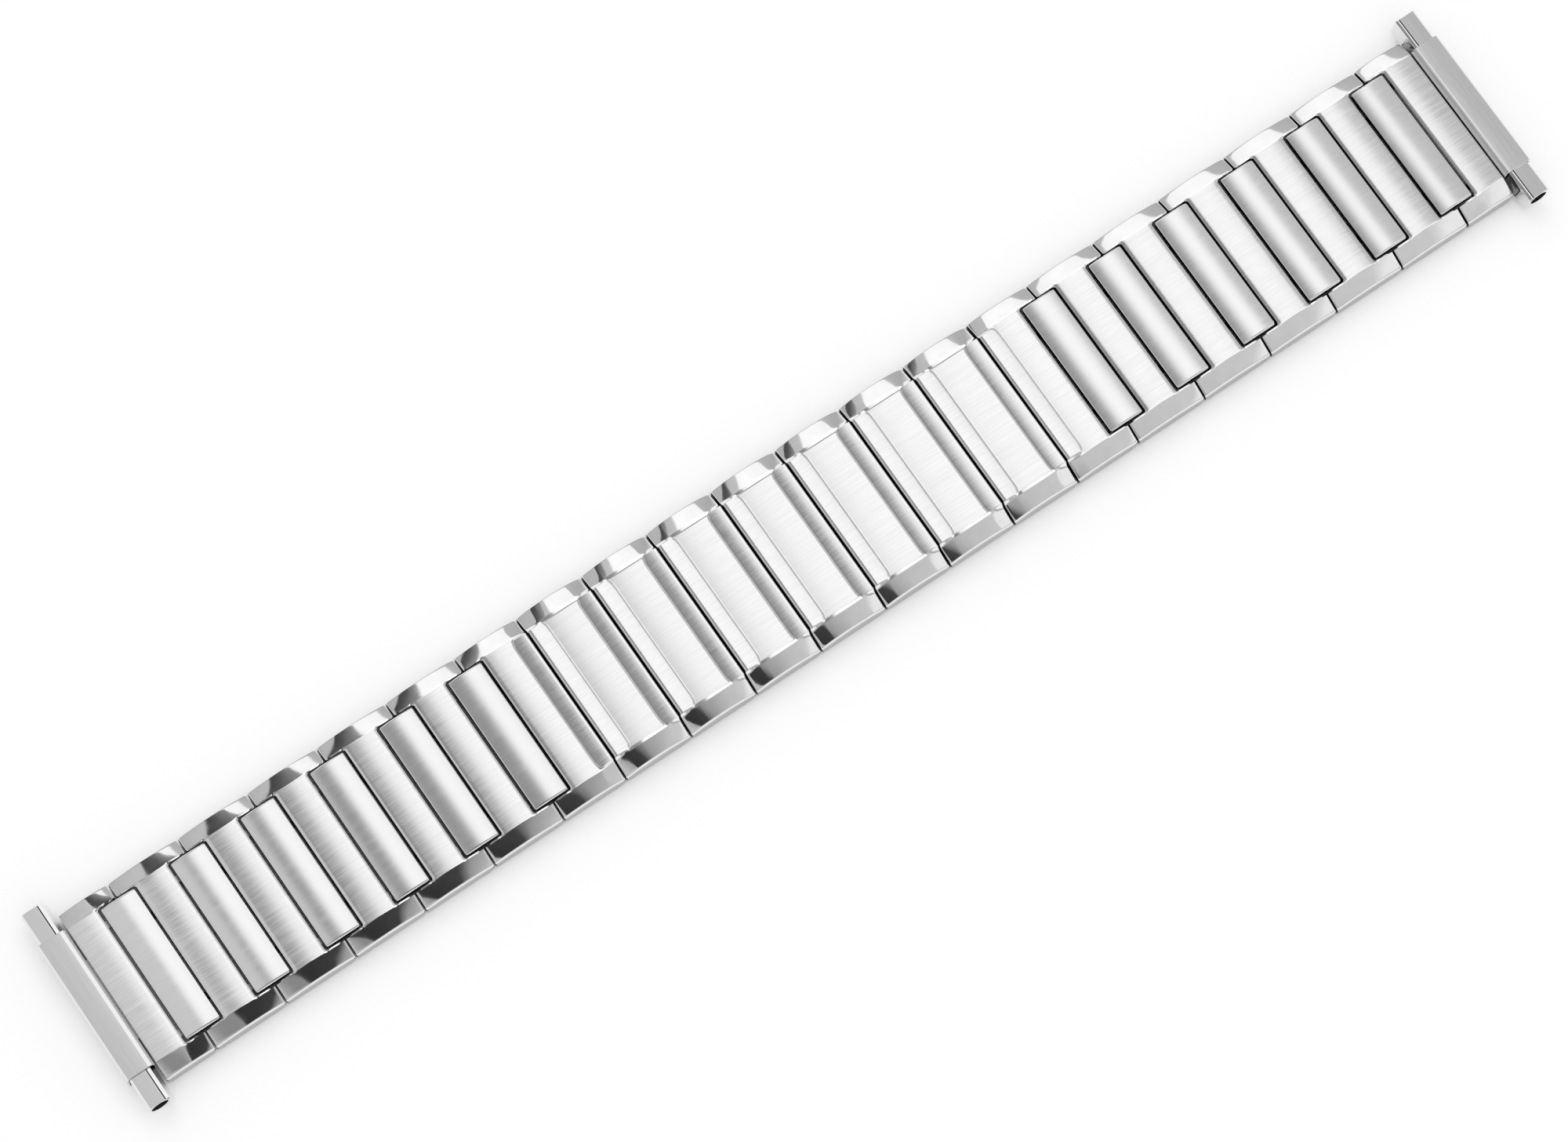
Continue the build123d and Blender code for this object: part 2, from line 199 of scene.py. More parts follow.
brushedSteel = steel("Brushed panel steel", (0.75, 0.9), (0.17, 0.25), lineDepth=0.0005, across=6000, coarse=0.25)
tubeSteel = steel("Polished tube steel", (0.78, 0.84), (0.1, 0.16), lineDepth=0.0002, along=7000, across=260)
satinSteel = steel("Satin bar steel", (0.82, 0.88), (0.22, 0.28), lineDepth=0.0002, across=4500)
polishedSteel = steel("Polished bevel steel", (0.84, 0.9), (0.05, 0.1), waveDepth=0.012)
sleeveSteel = steel("Satin sleeve steel", (0.76, 0.84), (0.2, 0.27), lineDepth=0.0004, along=7000, across=260)
backSteel = steel("Pressed back steel", (0.66, 0.76), (0.2, 0.3), waveDepth=0.004)
# The side walls' darker tone is painted shade: a shaded copy of the satin steel standing in for dimmer light on the
# upright sides
paintedShadeSideSteel = steel("Satin side steel with painted shade", (0.44, 0.54), (0.24, 0.34), lineDepth=0.0004)
# Near-black tone painted as the shade in joint gaps, grooves, hollows and on hidden inner faces; only its roughness is
# that of unpolished steel
paintedShadeInsideSteel = steel("Unpolished steel with painted shade", (0.05, 0.08), (0.45, 0.6))
springSteel = steel("Spring steel", (0.5, 0.6), (0.2, 0.3), lineDepth=0.001)
pinSteel = steel("Pin steel", (0.66, 0.76), (0.12, 0.2), lineDepth=0.001)
print("materials made")


def finishPiece(name, bm, materials, body, node, sharpAngle=35):
    bmesh.ops.recalc_face_normals(bm, faces=bm.faces)
    mesh = bpy.data.meshes.new(name)
    bm.to_mesh(mesh)
    bm.free()
    mesh.transform(Matrix.Scale(mm, 4))
    mesh.shade_smooth()
    mesh.set_sharp_from_angle(angle=radians(sharpAngle))
    for material in materials:
        mesh.materials.append(material)
    piece = bpy.data.objects.new(name, mesh)
    scene.collection.objects.link(piece)
    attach(piece, body)
    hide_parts(node)
    return piece


def roundEdges(piece, width, angle=50, segments=2, material=-1):
    rounded = piece.modifiers.new("Rounded edges", "BEVEL")
    rounded.limit_method = "ANGLE"
    rounded.angle_limit = radians(angle)
    rounded.width = width * mm
    rounded.segments = segments
    rounded.material = material
    rounded.harden_normals = True
    return rounded


def softStep(low, high, value):
    share = min(1.0, max(0.0, (value - low) / (high - low)))
    return share * share * (3 - 2 * share)


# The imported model's own pieces that stay under a detailed one: all below cutAt, or else every island but the shell
inner = {"weld": 1e-7, "shellAbove": 2.0, "backFace": 0.3}


def innerPieces(node, body, cutAt=None):
    bm = bmesh.new()
    bm.from_mesh(frame["nodes"][node].data)
    bmesh.ops.remove_doubles(bm, verts=bm.verts, dist=inner["weld"])
    bmesh.ops.scale(bm, vec=(1 / mm,) * 3, verts=bm.verts)
    if cutAt:
        everything = list(bm.verts) + list(bm.edges) + list(bm.faces)
        bmesh.ops.bisect_plane(bm, geom=everything, plane_co=(0, 0, cutAt), plane_no=(0, 0, 1), clear_outer=True)
    else:
        left, doomed = set(bm.verts), []
        while left:
            island, waiting = set(), [next(iter(left))]
            while waiting:
                vert = waiting.pop()
                if vert not in island:
                    island.add(vert)
                    waiting.extend(edge.other_vert(vert) for edge in vert.link_edges)
            left -= island
            if max(v.co.z for v in island) > inner["shellAbove"]:
                doomed.extend(island)
        bmesh.ops.delete(bm, geom=doomed, context="VERTS")
    low = min(v.co.z for v in bm.verts)
    # every face but the lowest back faces takes the near-black painted shade of the hollows between parts
    for face in bm.faces:
        face.material_index = 0 if all(v.co.z < low + inner["backFace"] for v in face.verts) else 1
    finishPiece(node + "_inside", bm, [backSteel, paintedShadeInsideSteel], body, node)


# Pressed top of a link. Ribs are given by width and slope, and lobes by a value for each end
shell = {
    "halfWidth": 9.35,
    "halfPanel": 7.6,
    "sheet": 0.25,
    "outerTop": 2.8,
    "middleTop": 2.95,
    "outerArch": 45.0,
    "middleArch": 16.0,
    "outerPanelArch": 20.0,
    "middlePanelArch": 36.0,
    "outerCornerDrop": 0.3,
    "middleCornerDrop": 0.25,
    "panelStep": 0.18,
    "panelStepPlace": 7.3,
    "panelStepBlend": 0.04,
    "bevelDrop": 0.5,
    "bevelBlend": 0.1,
    "fold": 0.05,
    "lobeReach": (1.4, 1.6),
    "lobeCurve": (0.0, 0.5),
    "lobeSlope": (0.06, 0.12),
    "lobeMiddle": 8.4,
    "lobeFold": 0.04,
    "skirtBottom": 0.25,
    "skirtCorner": 0.6,
    "edgeRound": 0.1,
    "sideRound": 0.12,
    "rimRound": 0.08,
    "flange": 0.75,
    "flangeExtra": 0.5,
    "notchReach": 2.025,
    "notchRound": 0.32,
    "rimFall": 0.6,
    "rimReach": 0.32,
    "leftRib": (1.9, 0.16),
    "rightRib": (1.65, 0.12),
    "ribTop": 2.93,
    "ribSlope": 0.15,
    "ribHalfLength": 7.45,
    "ribCorner": 0.42,
    "ribEndSteepness": 0.5,
    "ribEdgeRound": 0.34,
    "ribEdgeBlend": (0.25, 0.15),
}
# Where the mesh of a link has its columns and rows
linkGrid = {
    "roundEnds": 0.65,
    "notchColumns": (0.95, 1.3),
    "pastNotchColumns": (0.11, 0.2, 0.32, 0.5),
    "sleeveColumns": (0.95, 1.5),
    "ribColumns": (0.95, 0.8, 0.65, 0.52, 0.42, 0.32, 0.24),
    "ribSlopeColumns": (-0.55, -0.3, -0.1, 0.1, 0.3, 0.55, 1.2),
    "columnSpacing": 0.7,
    "panelRows": (0.0, 1.8, 3.6, 5.2, 6.2, 6.7, 6.9, 7.0, 7.06, 7.12, 7.18, 7.39, 7.44),
    "bevelRows": (7.7, 7.8, 8.1, 8.5, 8.9, 9.1),
    "skirtRows": (0.25, 0.6, 0.85, 1.0),
}
quarter = (0.0, pi / 6, pi / 3, pi / 2)


def ribSizes(side):
    return shell["leftRib"] if side > 0 else shell["rightRib"]


def onRib(x, y, edge, side):
    width, slope = ribSizes(side)
    u = (x - edge) * side - width + shell["ribCorner"]
    v = (abs(y) - shell["ribHalfLength"]) * shell["ribEndSteepness"] + shell["ribCorner"]
    away = min(max(u, v), 0) + hypot(max(u, 0), max(v, 0)) - shell["ribCorner"]
    return 1 - softStep(-slope / 2, slope / 2, away)


def edgeRound(kind, side, y):
    if kind != "hinge" or side < 0:
        return shell["edgeRound"]
    before, beyond = shell["ribEdgeBlend"]
    share = softStep(shell["ribHalfLength"] - before, shell["halfPanel"] + beyond, abs(y))
    return shell["ribEdgeRound"] + (shell["edgeRound"] - shell["ribEdgeRound"]) * share


# Columns from a link's edge inward: what each is, its place or share of a turn, and how far it hangs down
def edgeColumns(kind, side):
    columns = [("flange", 0.0, shell["flange"])] + [("round", angle, 0.0) for angle in quarter]
    columns += [("blend", k / 3, 0.0) for k in (1, 2, 3)]
    if kind == "stretch":
        reach, r = shell["notchReach"], shell["notchRound"]
        places = list(linkGrid["notchColumns"]) + [reach - r + r * cos(angle) for angle in reversed(quarter)]
        places += [reach + p for p in linkGrid["pastNotchColumns"]]
    elif kind == "hinge":
        width, slope = ribSizes(side)
        places = [width - p for p in linkGrid["ribColumns"]] + [width + slope * p for p in linkGrid["ribSlopeColumns"]]
    else:
        places = linkGrid["sleeveColumns"]
    return columns + [("place", place, 0.0) for place in places]


# How far in from the edge a column lies at one row, and how far it has turned down there
def columnPlace(column, kind, side, y):
    what, value, fall = column
    r = edgeRound(kind, side, y)
    if what == "flange":
        extra = shell["flangeExtra"] * softStep(shell["ribHalfLength"], shell["halfPanel"], abs(y))
        return 0.0, r + fall * (1 + extra)
    if what == "round":
        return r * (1 - cos(value)), r * (1 - sin(value))
    if what == "blend":
        return r + (linkGrid["roundEnds"] - r) * value, 0.0
    return value, 0.0


# Rows across a link: place, how far each has turned down, and its share of the side wall
def shellRows():
    r, side = shell["notchRound"], shell["sideRound"]
    half = linkGrid["panelRows"] + linkGrid["bevelRows"]
    half += tuple(shell["panelStepPlace"] + shell["panelStepBlend"] * k for k in (-1, 0, 1))
    half += tuple(shell["halfPanel"] - r + r * sin(angle) for angle in quarter)
    rows = [(y, 0.0, None) for y in sorted(set(round(y, 4) for y in half))]
    rows += [(shell["halfWidth"] - side * (1 - cos(a)), side * (1 - sin(a)), None) for a in reversed(quarter)]
    rows += [(shell["halfWidth"], side, share) for share in linkGrid["skirtRows"]]
    return [(-y, fall, share) for y, fall, share in reversed(rows[1:])] + rows


def linkShell(name, start, end, startKind, endKind, body):
    s = shell
    bothHinged = startKind == endKind == "hinge"
    family = "middle" if bothHinged else "outer"
    top, arch, panelArch, cornerDrop = (s[family + key] for key in ("Top", "Arch", "PanelArch", "CornerDrop"))
    left = start if startKind == "sleeve" else start + band["jointGap"] / 2
    right = end if endKind == "sleeve" else end - band["jointGap"] / 2
    edges = ((left, 1, startKind), (right, -1, endKind))
    middle, halfLength = (start + end) / 2, (end - start) / 2
    cut = {"stretch": s["notchReach"], "hinge": s["leftRib"][0], "sleeve": 0.0}
    panelMiddle = (left + cut[startKind] + right - cut[endKind]) / 2

    def topHeight(x, y):
        fromMiddle = x - middle
        z = top - fromMiddle ** 2 / (2 * arch)
        past = abs(y) - s["halfPanel"]
        past = 0.5 * (past + hypot(past, s["fold"]))
        drop = s["bevelDrop"] + cornerDrop * (fromMiddle / halfLength) ** 2
        z -= drop * past / (s["halfWidth"] - s["halfPanel"])
        onBevel = softStep(s["halfPanel"] - s["bevelBlend"], s["halfPanel"] + s["bevelBlend"], abs(y))
        fromPanel = x - panelMiddle
        if bothHinged:
            step, blend = s["panelStepPlace"], s["panelStepBlend"]
            inPanel = softStep(step + blend, step - blend, abs(y))
            z += inPanel * (top - s["panelStep"] - fromPanel ** 2 / (2 * panelArch) - z)
        else:
            level = top - (panelMiddle - middle) ** 2 / (2 * arch)
            z += (1 - onBevel) * (level - fromPanel ** 2 / (2 * panelArch) - z)
        for edge, side, kind in edges:
            away = (x - edge) * side
            if kind == "stretch":
                # the rim of the notch is drawn down a little
                near = max(0.0, s["notchReach"] + s["rimReach"] - away)
                z -= s["rimFall"] * near ** 2 * (1 - onBevel) * (near < 2 * s["rimReach"])
            if kind == "hinge":
                # the bevel falls once more near the joint, along a line that bends outward
                reach, curve, tilt = (s["lobe" + key][0 if side > 0 else 1] for key in ("Reach", "Curve", "Slope"))
                lobe = reach - curve * (abs(y) - s["lobeMiddle"]) ** 2 - away
                z -= tilt * onBevel * 0.5 * (lobe + hypot(lobe, s["lobeFold"]))
                # each rib is half a bar, level at the joint and falling away from it
                ribHeight = s["ribTop"] - s["ribSlope"] * away ** 2 / (2 * ribSizes(side)[0])
                z += onRib(x, y, edge, side) * (ribHeight - z)
        return z

    def underEdge(x):
        r = s["skirtCorner"]
        away = min(x - left, right - x, r)
        return s["skirtBottom"] + r - sqrt(max(0.0, r * r - (r - away) ** 2))

    def inNotch(x, y):
        r, margin = s["notchRound"], 1e-4
        for edge, side, kind in edges:
            away = (x - edge) * side
            if kind == "stretch" and away < s["notchReach"] - margin and abs(y) < s["halfPanel"] - margin:
                u, v = away - s["notchReach"] + r, abs(y) - s["halfPanel"] + r
                if u <= 0 or v <= 0 or hypot(u, v) <= r - margin:
                    return True
        return False

    startColumns = [(column, startKind, 1) for column in edgeColumns(startKind, 1)]
    endColumns = [(column, endKind, -1) for column in reversed(edgeColumns(endKind, -1))]
    innerLeft = left + columnPlace(*startColumns[-1], 0)[0]
    innerRight = right - columnPlace(*endColumns[0], 0)[0]
    steps = max(2, round((innerRight - innerLeft) / linkGrid["columnSpacing"]))
    between = [(("plain", innerLeft + (innerRight - innerLeft) * k / steps, 0.0), "", 0) for k in range(1, steps)]
    columns = startColumns + between + endColumns
    rows = shellRows()

    finishes = [brushedSteel, polishedSteel, paintedShadeSideSteel, paintedShadeInsideSteel]
    bm = bmesh.new()
    grid = {}
    for i, (column, kind, side) in enumerate(columns):
        for j, (y, fall, share) in enumerate(rows):
            if side:
                away, turned = columnPlace(column, kind, side, y)
                x = left + away if side > 0 else right - away
            else:
                x, turned = column[1], 0.0
            if column[0] == "flange" and (fall or share is not None):
                continue
            if column[0] == "round" and column[1] < pi / 2 and share is not None:
                continue
            z = topHeight(x, y) - fall - turned
            if share is not None:
                z += (underEdge(x) - z) * share
            if not inNotch(x, y):
                grid[i, j] = bm.verts.new((x, y, z))
    for i in range(len(columns) - 1):
        for j in range(len(rows) - 1):
            corners = [grid.get(key) for key in ((i, j), (i + 1, j), (i + 1, j + 1), (i, j + 1))]
            corners = [c for c in corners if c]
            if len(corners) < 3:
                continue
            face = bm.faces.new(corners)
            centre = face.calc_center_median()
            brushed = abs(centre.y) < s["halfPanel"]
            if bothHinged and abs(centre.y) > s["panelStepPlace"]:
                brushed = any(onRib(centre.x, centre.y, edge, side) > 0.5 for edge, side, kind in edges)
            finish = brushedSteel if brushed else polishedSteel
            # the skirt faces take the side walls' painted shade
            if rows[j][2] is not None and rows[j + 1][2] is not None:
                finish = paintedShadeSideSteel
            # the flanges hanging into the joint gap take the near-black painted shade, except beside the sleeve
            if "flange" in (columns[i][0][0], columns[i + 1][0][0]):
                finish = polishedSteel if "sleeve" in (columns[i][1], columns[i + 1][1]) else paintedShadeInsideSteel
            face.material_index = finishes.index(finish)
    for vert in [v for v in bm.verts if not v.link_faces]:
        bm.verts.remove(vert)
    piece = finishPiece(name + "_shell", bm, finishes, body, name)
    thick = piece.modifiers.new("Sheet", "SOLIDIFY")
    thick.thickness = s["sheet"] * mm
    thick.offset = -1
    thick.use_even_offset = True
    # past the end of the list, so that the inner side and the rim take its last finish, the near-black painted shade
    thick.material_offset = thick.material_offset_rim = len(finishes)
    roundEdges(piece, s["rimRound"], segments=3, material=finishes.index(polishedSteel))


def bodyName(node):
    for body, members in frame["record"]["behaviour"]["bodies"].items():
        if node in members:
            return body


armLinks = band["hingeJoints"] + band["stretchJoints"] - 1
linkCount = 2 * armLinks + 1
links = [(f"link_{armLinks + 1:02d}", -jointPlaces[0], jointPlaces[0], "hinge", "hinge")]
for n in range(armLinks):
    startKind = "hinge" if n < band["hingeJoints"] else "stretch"
    endKind = "hinge" if n + 1 < band["hingeJoints"] else "stretch"
    a, b = jointPlaces[n], jointPlaces[n + 1]
    number = armLinks + 2 + n
    links.append((f"link_{number:02d}", a, b, startKind, endKind))
    links.append((f"link_{linkCount + 1 - number:02d}", -b, -a, endKind, startKind))
links.append(("right_end_link", jointPlaces[-1], endFace, "stretch", "sleeve"))
links.append(("left_end_link", -endFace, -jointPlaces[-1], "sleeve", "stretch"))
for name, a, b, startKind, endKind in links:
    linkShell(name, a, b, startKind, endKind, bodyName(name))
    innerPieces(name, bodyName(name))
print("links made:", len(links))

# Crowned bar between two links
bar = {
    "width": 3.65,
    "length": 14.8,
    "top": 3.05,
    "crown": 0.2,
    "underside": 2.1,
    "endRound": 0.22,
    "roundShares": (1.0, 0.8, 0.5),
    "arcSteps": 24,
}


def crownedBar(name, place, body):
    half, halfLength = bar["width"] / 2, bar["length"] / 2
    profile = [(-half, bar["underside"])]
    for k in range(bar["arcSteps"] + 1):
        t = 2 * k / bar["arcSteps"] - 1
        profile.append((half * t, bar["top"] - bar["crown"] * t ** 2))
    profile.append((half, bar["underside"]))
    bm = bmesh.new()
    weight = bm.edges.layers.float.new("bevel_weight_edge")
    rings = [[bm.verts.new((place + x, y, z)) for x, z in profile] for y in (-halfLength, halfLength)]
    bm.faces.new(rings[0])
    bm.faces.new(reversed(rings[1]))
    for k in range(len(profile)):
        n = (k + 1) % len(profile)
        bm.faces.new((rings[0][k], rings[1][k], rings[1][n], rings[0][n]))
    # full rounding along the crown's ends, less at the upright corners and least along the sides
    endShare, cornerShare, sideShare = bar["roundShares"]
    for edge in bm.edges:
        first, second = (v.co for v in edge.verts)
        aboveUnderside = [z > bar["underside"] + hair for z in (first.z, second.z)]
        atEnd = abs(first.y - second.y) < touching
        onSide = abs(abs(first.x - place) - half) < touching
        if atEnd and any(aboveUnderside):
            edge[weight] = endShare if all(aboveUnderside) else cornerShare
        elif onSide and all(aboveUnderside):
            edge[weight] = sideShare
    bmesh.ops.recalc_face_normals(bm, faces=bm.faces)
    # the cap's upright sides, ends and underside take the near-black painted shade of the gap around the bar
    for face in bm.faces:
        face.material_index = 0 if face.normal.z > 0.3 else 1
    piece = finishPiece(name + "_cap", bm, [satinSteel, paintedShadeInsideSteel], body, name, sharpAngle=60)
    roundEdges(piece, bar["endRound"], segments=4, material=0).limit_method = "WEIGHT"


for n in range(band["stretchJoints"]):
    place = jointPlaces[band["hingeJoints"] + n]
    for name, x in ((f"bar_{7 + n:02d}", place), (f"bar_{6 - n:02d}", -place)):
        crownedBar(name, x, bodyName(name))
        innerPieces(name, bodyName(name), cutAt=bar["underside"] - hair)
print("bars made:", 2 * band["stretchJoints"])

# Rolled sleeve and the telescoping tubes in it
sleeve = {
    "gap": 0.1,
    "width": 3.1,
    "height": 2.8,
    "length": 15.3,
    "lift": 0.4,
    "wall": 0.22,
    "corner": 0.3,
    "bandWall": 0.14,
    "ridge": (0.26, 0.66, 0.07),
    "sweep": ((0.05, 2.62), (0.01, 2.0), (0.0, 1.5)),
    "ledge": ((0.07, 2.69), (0.1, 2.72), (0.2, 2.74), (0.23, 2.77), (0.24, 2.95), (0.25, 3.09)),
    "seam": 0.4,
    "tongueReach": 1.35,
    "tongueOverlap": 0.02,
    "tongueWidth": 9.0,
    "tongueThickness": 0.3,
    "tongueHeight": 1.2,
    "edgeRound": 0.05,
}
tube = {
    "spread": 22.0,
    "pieceLength": 7.9,
    "clearance": 0.05,
    "barrel": 1.12,
    "bore": 0.9,
    "sheet": 0.15,
    "ridge": (0.6, 0.93, 0.06),
    "sweep": ((0.56, 2.8), (0.37, 1.5), (0.18, 0.95)),
    "groove": (0.96, 1.05, 0.14),
    "grooveTaper": 0.02,
    "grooveRim": 0.04,
    "barrelStart": -0.1,
    "slit": 0.004,
    "meetAngle": pi - 0.89,
    "lipDrop": 0.04,
    "edgeRound": 0.03,
}
# The long outer edge of both: in from the side, down from the top
outerEdge = ((0.26, 0.0), (0.22, 0.02), (0.05, 0.3), (0.01, 0.38), (0.0, 0.46))
ridgeSteepening = 0.55
ridgeRunOut = 0.03


def arcPoints(centre, radius, first, last, steps):
    angles = [first + (last - first) * k / steps for k in range(steps + 1)]
    return [(centre[0] + radius * cos(a), centre[1] + radius * sin(a)) for a in angles]


def curvePoints(start, pull, end, steps=8):
    def along(t):
        return tuple((1 - t) ** 2 * a + 2 * t * (1 - t) * b + t * t * c for a, b, c in zip(start, pull, end))

    return [along(k / steps) for k in range(steps + 1)]


def ridgePoints(ridge, top):
    # falls toward the band from far to near, the more steeply the nearer
    near, far, drop = ridge
    points = []
    for t in (0, 0.25, 0.5, 0.75, 1):
        share = (1 - t) * (1 + ridgeSteepening - ridgeSteepening * t) / (1 + ridgeSteepening)
        points.append((near + (far - near) * t, top - drop * share))
    return points + [(far + ridgeRunOut, top)]


def extruded(bm, outline, y0, y1, side, origin, dark=()):
    rings = [[bm.verts.new((side * (origin + x), y, z)) for x, z in outline] for y in (y0, y1)]
    bm.faces.new(rings[0])
    bm.faces.new(reversed(rings[1]))
    for k in range(len(outline)):
        n = (k + 1) % len(outline)
        face = bm.faces.new((rings[0][k], rings[1][k], rings[1][n], rings[0][n]))
        # faces between two of the dark points take the second finish, the near-black painted shade
        face.material_index = 1 if outline[k] in dark and outline[n] in dark else 0


def endSleeve(name, side, body):
    w = sleeve["width"]
    low, high = sleeve["lift"], sleeve["lift"] + sleeve["height"]
    seamLeft, seamRight = w / 2 - 1.5 * sleeve["seam"], w / 2 - 0.5 * sleeve["seam"]

    # one turn of the sheet from seam to seam; its inner side leaves out the small steps of the ledge
    ledgeStart = 4

    def turn(inset, bandInset):
        r = sleeve["corner"] - inset
        points = [(seamLeft, low + inset)]
        points += arcPoints((bandInset + r, low + inset + r), r, -pi / 2, -pi, 6)
        points += [(x + bandInset, z) for x, z in reversed(curvePoints(*sleeve["sweep"]))]
        points += [(x + bandInset, z - inset) for x, z in sleeve["ledge"][ledgeStart if inset else 0:]]
        near, far, drop = sleeve["ridge"]
        points += ridgePoints((near + bandInset, far, drop), high - inset)
        points += [(w - inset - x * (1 - inset), high - inset - z) for x, z in outerEdge]
        points += arcPoints((w - inset - r, low + inset + r), r, 0, -pi / 2, 6)
        return points + [(seamRight, low + inset)]

    outline = turn(0.0, 0.0) + list(reversed(turn(sleeve["wall"], sleeve["bandWall"])))
    bm = bmesh.new()
    origin = endFace + sleeve["gap"]
    extruded(bm, outline, -sleeve["length"] / 2, sleeve["length"] / 2, side, origin)
    tongueLow = sleeve["tongueHeight"] - sleeve["tongueThickness"] / 2
    tongueHigh = sleeve["tongueHeight"] + sleeve["tongueThickness"] / 2
    reach, overlap = sleeve["tongueReach"], sleeve["tongueOverlap"]
    tongue = [(-reach, tongueLow), (overlap, tongueLow), (overlap, tongueHigh), (-reach, tongueHigh)]
    extruded(bm, tongue, -sleeve["tongueWidth"] / 2, sleeve["tongueWidth"] / 2, side, origin)
    piece = finishPiece(name + "_roll", bm, [sleeveSteel], body, name)
    roundEdges(piece, sleeve["edgeRound"])


def tubePiece(name, side, outward, body):
    top = sleeve["lift"] + sleeve["height"] - sleeve["wall"] - tube["clearance"]
    right = sleeve["width"] - sleeve["wall"] - tube["clearance"]
    centre = (right - tube["barrel"], top - tube["barrel"])
    grooveLeft, grooveRight, grooveDepth = tube["groove"]
    bottom, taper = top - grooveDepth, tube["grooveTaper"]
    groove = [(grooveLeft, top), (grooveLeft + taper, bottom), (grooveRight - taper, bottom), (grooveRight, top)]
    outline = list(reversed(curvePoints(*tube["sweep"]))) + ridgePoints(tube["ridge"], top)[:-1] + groove
    outline += [(grooveRight + tube["grooveRim"], top)] + [(right - x, top - z) for x, z in outerEdge]
    # round the barrel and back to the underside of the flat, then round the bore through a hairline seam
    slit, meet = tube["slit"], tube["meetAngle"]
    outline += arcPoints(centre, tube["barrel"], tube["barrelStart"], meet - 2 * pi, 30)
    turned = outline[-1]
    bore = arcPoints(centre, tube["bore"], meet - 2 * pi, meet, 34)
    outline += bore[:-1] + [(bore[-1][0] + slit, bore[-1][1] + slit), (turned[0] + slit, turned[1] + slit)]
    outline += [(x + tube["sheet"], z - tube["lipDrop"]) for x, z in curvePoints(*tube["sweep"])]
    bm = bmesh.new()
    outer = outward * tube["spread"] / 2
    # the groove's walls and floor take the near-black painted shade
    extruded(bm, outline, outer - outward * tube["pieceLength"], outer, side, endFace + sleeve["gap"], dark=groove)
    piece = finishPiece(name + "_roll", bm, [tubeSteel, paintedShadeInsideSteel], body, name)
    roundEdges(piece, tube["edgeRound"], angle=60)


for side, label in ((1, "right"), (-1, "left")):
    endSleeve(label + "_end_sleeve", side, bodyName(label + "_end_sleeve"))
    for outward, where in ((-1, "front"), (1, "rear")):
        name = f"{label}_{where}_tube"
        tubePiece(name, side, outward, bodyName(name))
print("end sleeves and tubes made")

# Carried-over bows and hinge pins
carried = {"bow_": (springSteel, "bow_steel"), "hinge_pin_": (pinSteel, "pin_steel")}
for name, node in frame["nodes"].items():
    for start, (finish, slot) in carried.items():
        if name.startswith(start):
            node.data.materials.clear()
            node.data.materials.append(finish)
print("bows and pins dressed")

# Camera at the photograph's angle
view = {"azimuth": -34.28, "elevation": 73.83, "distance": 600.0, "right": -1.263, "up": -1.525, "lens": 145.9,
        "sensor": 36.0, "clip": (0.01, 20.0)}
azimuth, elevation = radians(view["azimuth"]), radians(view["elevation"])
back = Vector((sin(azimuth) * cos(elevation), -cos(azimuth) * cos(elevation), sin(elevation)))
rightward = Vector((cos(azimuth), sin(azimuth), 0))
upward = back.cross(rightward)
cameraData = bpy.data.cameras.new("Camera")
cameraData.lens = view["lens"]
cameraData.sensor_width = view["sensor"]
cameraData.clip_start, cameraData.clip_end = view["clip"]
cameraObject = bpy.data.objects.new("Camera", cameraData)
scene.collection.objects.link(cameraObject)
target = rightward * view["right"] + upward * view["up"]
cameraObject.location = (target + back * view["distance"]) * mm
cameraObject.rotation_euler = Matrix((rightward, upward, back)).transposed().to_euler()
scene.camera = cameraObject

# Plain pale floor, lifted to white except in the deep shadow under the band
ground = {"reach": 6.0, "drop": 0.02, "colour": 0.9, "lift": 0.26, "shadeReach": 4.0, "openFrom": (0.1, 0.5)}
floorMesh = bpy.data.meshes.new("Floor")
floorCorners = [(x * ground["reach"], y * ground["reach"], 0) for x, y in ((-1, -1), (1, -1), (1, 1), (-1, 1))]
floorMesh.from_pydata(floorCorners, [], [(0, 1, 2, 3)])
floor = bpy.data.objects.new("Floor", floorMesh)
scene.collection.objects.link(floor)
floor.location.z = -ground["drop"] * mm
floorMaterial = bpy.data.materials.new("Pale floor")
floorMaterial.use_nodes = True
tree = floorMaterial.node_tree
tree.nodes.clear()
pale = tree.nodes.new("ShaderNodeBsdfDiffuse")
pale.inputs["Color"].default_value = (ground["colour"],) * 3 + (1,)
lift = tree.nodes.new("ShaderNodeEmission")
rays = tree.nodes.new("ShaderNodeLightPath")
seen = mathNode(tree, "MAXIMUM", rays.outputs["Is Camera Ray"], rays.outputs["Is Glossy Ray"])
seen = mathNode(tree, "MAXIMUM", seen, rays.outputs["Is Transmission Ray"])
shade = tree.nodes.new("ShaderNodeAmbientOcclusion")
shade.inputs["Distance"].default_value = ground["shadeReach"] * mm
openSky = rangeNode(tree, shade.outputs["AO"], ground["openFrom"], (0.0, 1.0))
seen = mathNode(tree, "MULTIPLY", seen, openSky)
tree.links.new(mathNode(tree, "MULTIPLY", seen, ground["lift"]), lift.inputs["Strength"])
together = tree.nodes.new("ShaderNodeAddShader")
output = tree.nodes.new("ShaderNodeOutputMaterial")
tree.links.new(pale.outputs[0], together.inputs[0])
tree.links.new(lift.outputs[0], together.inputs[1])
tree.links.new(together.outputs[0], output.inputs["Surface"])
floorMesh.materials.append(floorMaterial)

